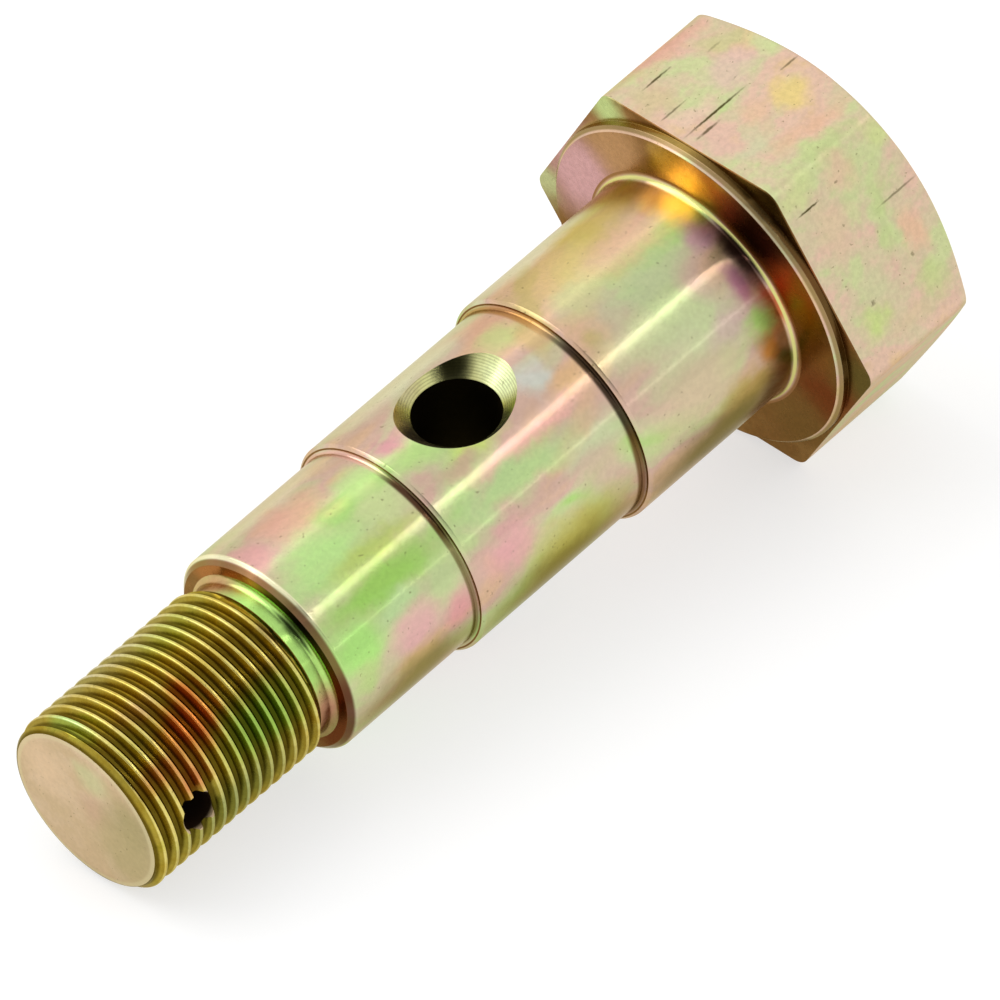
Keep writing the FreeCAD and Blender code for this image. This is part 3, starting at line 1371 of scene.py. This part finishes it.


# The faces square to the axis, where the film has turned brown and maroon, darkened further by
# painted reflection of the shank and the shaded floor
SQUARE_FACE_FINISH = PlatedFinish(
    "plated_square_face", wave=0.6, scale=0.12, stretch=1.0, uneven=2.0, roughness=0.26,
    grain=0.003,
    stops=((0.0, "5e4424"), (0.4, "7c5630"), (0.7, "88643a"), (1.0, "7e6e3c")),
    # The washer face's patches are partly the film's colour and partly painted reflection: dark
    # maroon on the lower side, bright gold at the top
    stains=stains_on(
        round_point, 19.5,
        (66.0, 0.0, 9.0, 6.0, "d2a2a6", 0.85),
        (34.0, 0.0, 6.6, 6.0, "b88c64"),
        (3.0, 0.0, 4.6, 6.0, "f0c468", 0.9),
        (-20.0, 0.0, 4.0, 4.0, "8c4024", 0.85),
        (-36.0, 0.0, 5.0, 4.0, "54201c", 0.9),
        (-55.0, 0.0, 4.6, 4.0, "b04a24", 0.85),
        (-70.0, 0.0, 3.8, 4.0, "80681e", 0.9),
    ) + stains_on(
        round_point, 21.0,
        (-86.0, 0.0, 6.0, 4.0, "7c4c22", 0.9),
        (-108.0, 0.0, 6.6, 4.0, "6c2e18", 0.95),
        (-130.0, 0.0, 7.0, 4.0, "70502a", 0.9),
    ) + stains_on(
        round_point, 25.5,
        (32.0, -1.4, 3.6, 2.0, "bccf8a", 0.9),
        # Painted shade under the head
        (-30.0, -1.4, 4.0, 1.4, "5c4824", 0.9),
    ) + stains_on(
        round_point, 26.0,
        # Painted shade under the head
        (-92.0, -1.4, 5.4, 4.0, "5e5028", 0.95),
        (88.0, -1.4, 4.6, 3.0, "b8be8a", 0.9),
    ),
    tones=(
        # Painted light and shade: lighter bands on the upper side of the neck's shoulder and the
        # washer's side, painted shade on their lower side
        PaintedRing(12.4, 75.0, 1.1, "b0703e", 0.8, 25.0, 35.0),
        PaintedRing(12.4, 75.0, 1.2, "241408", 0.94, -42.0, 46.0),
        PaintedRing(12.4, 75.0, 1.2, "642014", 0.92, -102.0, 50.0),
        PaintedRing(23.2, -1.0, 0.7, "a08848", 0.7, 20.0, 60.0),
        PaintedRing(23.2, -1.0, 0.7, "5a4424", 0.85, -50.0, 60.0),
    ),
)


# The journal next to the head, gold on top and purple by the root, where the patches are partly
# the film and partly painted reflection of the washer face
LARGE_JOURNAL_FINISH = journal_finish(
    "plated_large_journal", roughness=0.195, uneven=2.4,
    stains=stains_on(
        round_point, SteppedShank.radii[0],
        (30.0, 3.5, 6.5, 4.5, "b49a34"),
        (24.0, 11.0, 6.0, 6.0, "ccb85c"),
        (14.0, 17.5, 5.5, 6.0, "dcc07c"),
        (0.0, 10.0, 3.6, 8.0, "dcb494"),
        (2.0, 2.0, 4.6, 3.4, "ecc464", 0.9),
        (-4.0, 20.0, 3.6, 5.0, "c8c890"),
        (-20.0, 13.0, 3.4, 9.0, "bcc498"),
        (-18.0, 3.2, 3.0, 2.4, "c898a4"),
        (-36.0, 17.0, 3.6, 9.0, "c8d49c"),
        (-48.0, 12.0, 4.0, 8.0, "c8d0a0"),
        (-46.0, 3.4, 3.2, 2.2, "b87890", 0.85),
        # Painted shade and reflection: a dark spot by the root
        (-33.0, 0.4, 6.4, 1.6, "3c1418", 0.9),
        (-58.0, 7.0, 3.0, 5.0, "ccb0a8"),
        (-66.0, 3.6, 2.8, 2.8, "a8d470", 0.9),
        (-74.0, 15.0, 5.0, 10.0, "ccb898"),
        (-64.0, 0.6, 3.4, 1.2, "b85424", 0.85),
        (-79.0, 3.2, 2.6, 2.6, "d08c34", 0.9),
        (-90.0, 1.2, 3.6, 2.6, "5e6a20", 0.9),
        (-92.0, 8.0, 3.6, 7.0, "b89c50", 0.85),
        # Painted shade along the underside
        (-106.0, 13.0, 5.4, 13.0, "6e6434", 0.9),
        # A painted sheen along the upper side
        (44.0, 17.0, 3.6, 10.0, "e4e2c8", 0.85),
    ),
    tones=(
        # Painted light and shade at the root: a darker band on the fillet, a painted highlight
        # line in it, and a darker band on the washer's bevel
        PaintedRing(17.05, 0.0, 0.7, "8a5c34", 0.9),
        PaintedRing(16.25, 0.3, 0.30, "d8d484", 0.9),
        PaintedRing(23.0, -0.45, 0.42, "8c7444", 0.85),
    ),
)


# The journal with the cross hole
MIDDLE_JOURNAL_FINISH = journal_finish(
    "plated_middle_journal", film=0.56, roughness=0.19, uneven=2.2,
    stains=stains_on(
        round_point, SteppedShank.radii[1],
        # A painted sheen along the upper side
        (42.0, 40.0, 5.0, 15.0, "dedcc0", 0.85),
        (22.0, 29.0, 4.0, 4.0, "dcae94"),
        (10.0, 30.0, 3.0, 3.4, "c4cc88"),
        (2.0, 50.6, 2.4, 2.6, "d0949a", 0.85),
        (-4.0, 27.0, 3.0, 3.0, "ccb27c"),
        (-9.0, 50.0, 2.6, 3.6, "b6d884", 0.85),
        (-22.0, 43.0, 2.2, 5.0, "cfdf74", 0.85),
        (-18.0, 32.0, 2.8, 3.0, "ccd0c4", 0.85),
        (-29.0, 28.5, 2.0, 4.0, "e0b888", 0.85),
        (-28.0, 47.0, 1.6, 4.0, "c8a890"),
        (-36.0, 38.0, 1.2, 11.0, "e8b0a4", 0.85),
        (-47.0, 42.0, 3.0, 12.0, "b6d890", 0.85),
        (-58.0, 31.0, 2.6, 6.0, "c8d4a4"),
        (-73.0, 47.0, 3.8, 5.6, "dca4a4", 0.85),
        (-70.0, 31.0, 3.6, 5.0, "ccb09c"),
        (-84.0, 40.0, 2.6, 6.0, "c8c488"),
        # Painted shade along the underside, here and in the next row
        (-95.0, 37.0, 4.4, 10.0, "b8ae50", 0.85),
        (-110.0, 40.0, 5.0, 14.0, "80742e", 0.9),
    ),
    tones=(
        # Painted light and shade at the shoulder: a lighter band on the upper side, painted shade
        # on the lower side
        PaintedRing(15.0, 26.0, 0.9, "b07a3c", 0.8, 40.0, 55.0),
        PaintedRing(15.05, 25.8, 0.8, "2a1c08", 0.93, -44.0, 46.0),
        PaintedRing(15.0, 26.0, 0.9, "68401c", 0.85, -108.0, 50.0),
    ),
)


# The journal next to the neck, mostly a strong green on the side that is seen
SMALL_JOURNAL_FINISH = journal_finish(
    "plated_small_journal", film=0.6, roughness=0.185, uneven=2.0,
    stains=stains_on(
        round_point, SteppedShank.radii[2],
        # A painted sheen along the upper side
        (42.0, 64.0, 5.0, 13.0, "dcd4b8", 0.85),
        (14.0, 65.0, 4.6, 5.6, "e2ae98", 0.85),
        (4.0, 57.0, 3.4, 3.4, "bcd88c"),
        (8.0, 73.0, 3.4, 2.6, "dca4a0"),
        (-18.0, 68.0, 4.2, 8.0, "b8e48c", 0.85),
        (-16.0, 57.0, 3.4, 4.0, "cad698"),
        (-28.0, 62.0, 1.8, 9.0, "b8cc68"),
        (-44.0, 64.0, 3.4, 12.0, "98cc5c", 0.9),
        (-63.0, 71.0, 3.6, 4.4, "a8dc78", 0.9),
        (-62.0, 57.0, 2.8, 4.0, "b8cc90"),
        (-58.0, 64.0, 2.4, 4.0, "b8d498"),
        (-76.0, 63.0, 3.6, 4.4, "dca8a8", 0.85),
        (-84.0, 56.0, 2.8, 2.8, "dc9c9c", 0.85),
        (-78.0, 71.5, 2.6, 3.0, "b8d084"),
        (-92.0, 63.0, 2.6, 5.0, "ccac70"),
        # Painted shade along the underside
        (-106.0, 64.0, 4.4, 11.0, "8a8048", 0.9),
    ),
    tones=(
        # Painted light and shade at both shoulders: lighter bands and a painted highlight line on
        # the upper side, painted shade on the lower side
        PaintedRing(14.0, 53.9, 0.6, "e4b0a0", 0.7, 40.0, 50.0),
        PaintedRing(14.0, 53.9, 0.7, "44180c", 0.93, -28.0, 30.0),
        PaintedRing(14.0, 53.9, 0.6, "6c5c2c", 0.8, -85.0, 50.0),
        PaintedRing(13.3, 74.8, 0.75, "8a6238", 0.9, 25.0, 60.0),
        PaintedRing(13.9, 74.2, 0.42, "f4eec4", 0.9, 20.0, 70.0),
        PaintedRing(13.4, 74.7, 0.75, "6c4828", 0.88, -50.0, 44.0),
        PaintedRing(13.4, 74.7, 0.8, "582618", 0.9, -110.0, 50.0),
    ),
)


# The relief neck, a clear green film
NECK_FINISH = PlatedFinish(
    "plated_neck", wave=0.6, scale=0.14, stretch=1.0, fine=0.1, uneven=1.0, roughness=0.24,
    grain=0.0, mottle=0.04, turned=0.8,
    stops=((0.0, "bcc070"), (0.45, "acd874"), (0.75, "b8e480"), (1.0, "dcdc98")),
    stains=stains_on(
        round_point, SteppedShank.neck,
        (34.0, 76.0, 5.0, 3.0, "c89070", 0.85),
        # Painted shade next to the shoulder
        (-33.0, 75.6, 2.6, 0.9, "34441c", 0.85),
        (-96.0, 76.5, 5.0, 3.0, "c0786c", 0.85),
        (64.0, 76.0, 5.0, 3.0, "cca078", 0.85),
        (-124.0, 76.0, 6.0, 3.0, "94604c", 0.85),
    ),
)


# The thread, olive and gold and rusty in the middle, with painted shade darkening its flanks and
# grooves and leaving a painted highlight on each crest
THREAD_FINISH = PlatedFinish(
    "plated_thread", wave=0.6, scale=0.14, stretch=0.7, fine=0.3, uneven=1.6, roughness=0.24,
    grain=0.004,
    stops=(
        (0.0, "c4a84e"), (0.35, "d2bc60"), (0.6, "dccc78"), (0.8, "ccc05e"), (1.0, "b8c05c"),
    ),
    stains=stains_on(
        round_point, 11.7,
        (-18.0, 91.5, 3.0, 1.9, "d87c3c", 0.9),
        (-36.0, 94.0, 4.0, 5.0, "d47838", 0.9),
        (-47.0, 100.0, 2.2, 4.6, "d09054", 0.85),
        (-62.0, 97.5, 2.8, 3.0, "cc7c4c", 0.85),
        (-42.0, 84.0, 1.6, 6.0, "b89248", 0.7),
        (-10.0, 97.5, 2.2, 3.6, "d0a880", 0.6),
        (-64.0, 85.5, 5.4, 8.0, "8cb44e", 0.9),
        (-98.0, 92.0, 5.0, 11.0, "9ca66a", 0.85),
        (22.0, 86.0, 4.0, 7.0, "ccd274"),
        (14.0, 103.6, 4.6, 1.5, "ccea98", 0.9),
        (-28.0, 78.2, 2.6, 1.1, "9c8050"),
        # A painted sheen along the upper side
        (52.0, 92.0, 6.0, 14.0, "d4ceb4", 0.85),
    ),
    tones=(
        # Painted shade: crests kept light, flanks darker, roots dark
        PaintedDepthShade(11.97, 11.82, "b8ae6c", 0.95),
        PaintedDepthShade(11.55, 11.2, "8e8460", 0.9),
        PaintedDepthShade(10.8, 9.8, "201810", 1.0),
    ),
)


# The matt end face, an even tan
END_FACE_FINISH = PlatedFinish(
    "plated_end_face", film=0.45, wave=0.35, scale=0.16, stretch=1.0, fine=0.15, uneven=2.0,
    roughness=0.45, grain=0.006, mottle=0.04,
    stops=(
        (0.0, "bca884"), (0.35, "ccb492"), (0.6, "d4bc9e"), (0.85, "ccbe98"), (1.0, "c4c494"),
    ),
    stains=(
        FilmAndLightPatch(round_point(7.0, -14.0, FineThread.end), 3.0, 2.0, "c8cc9c", 0.6),
        FilmAndLightPatch(round_point(2.0, -60.0, FineThread.end), 3.0, 2.0, "c8a890", 0.6),
        FilmAndLightPatch(round_point(8.5, -78.0, FineThread.end), 6.0, 3.0, "aca076", 0.85),
        FilmAndLightPatch(round_point(8.0, -125.0, FineThread.end), 6.0, 3.0, "b8aa80"),
        FilmAndLightPatch(round_point(7.0, 60.0, FineThread.end), 5.0, 2.0, "e0c4a4", 0.7),
    ),
    # A painted highlight round the rim
    tones=(PaintedRing(10.9, 105.5, 0.7, "dcd2a8", 0.45),),
)


# The countersinks of the cross hole, with the cutter's fine rings, a painted highlight and a
# patch of painted shade
COUNTERSINK_FINISH = PlatedFinish(
    "plated_countersink", wave=0.5, scale=0.15, stretch=1.0, fine=0.1, uneven=1.0,
    roughness=0.24, grain=0.0,
    stops=((0.0, "b0a864"), (0.4, "c4c080"), (0.7, "d0d090"), (1.0, "c8d088")),
    stains=(
        # A painted highlight on the side towards the head
        FilmAndLightPatch((14.0, -1.5, 33.6), 4.2, 2.6, "ecf6bc", 0.95),
        # Painted shade on the upper side of the rim
        FilmAndLightPatch((14.0, 5.0, 35.8), 2.8, 2.8, "4c4a24", 0.9),
        FilmAndLightPatch((13.5, 7.0, 42.5), 2.4, 3.0, "c0b48c"),
        FilmAndLightPatch((14.0, 1.5, 47.2), 4.8, 2.8, "d4b894", 0.9),
        FilmAndLightPatch((14.0, -6.0, 36.4), 2.2, 2.2, "98a45c"),
    ),
    tones=(ToolRings(CROSS_HOLE.station, 0.26, "a8a898", 0.4),),
)


# The wall of the cross hole, painted dark as shade
BORE_PAINTED_SHADE = PlatedFinish(
    "bore_painted_shade", roughness=0.55, grain=0.006, specks=0.0,
    stops=((0.0, "1c160c"), (1.0, "2c2412")),
)


# The wall of the split pin's hole, tan at its mouth, with painted shade darkening it inside
SPLIT_HOLE_FINISH = PlatedFinish(
    "plated_split_hole", roughness=0.5, grain=0.004, metallic=0.2,
    stops=((0.0, "d4ac88"), (1.0, "dcc8a0")),
    tones=(PaintedDepthShade(11.7, 11.0, "30241c", 1.0),),
)


# The finish of each kind of surface
FINISHES: dict[Surface, PlatedFinish] = {
    Surface.BAR: BAR_FINISH,
    Surface.SQUARE_FACE: SQUARE_FACE_FINISH,
    Surface.LARGE_JOURNAL: LARGE_JOURNAL_FINISH,
    Surface.MIDDLE_JOURNAL: MIDDLE_JOURNAL_FINISH,
    Surface.SMALL_JOURNAL: SMALL_JOURNAL_FINISH,
    Surface.NECK: NECK_FINISH,
    Surface.THREAD: THREAD_FINISH,
    Surface.END_FACE: END_FACE_FINISH,
    Surface.COUNTERSINK: COUNTERSINK_FINISH,
    Surface.BORE: BORE_PAINTED_SHADE,
    Surface.SPLIT_HOLE: SPLIT_HOLE_FINISH,
}


def main() -> None:
    """Build the pin and the studio round it."""
    logging.basicConfig(level=logging.INFO, format="%(name)s: %(message)s")
    LOG.info("frame with %d nodes", len(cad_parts))
    pin = LinkPin().build(FINISHES)
    LOG.info("pin %s, %d faces", pin.name, len(pin.data.polygons))
    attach(pin, "root")
    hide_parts("link_pin")
    Studio().build()
    PhotoCamera().build()
    LOG.info("camera and studio set")
    bpy.context.scene.view_settings.view_transform = "Standard"


if __name__ == "__main__":
    main()
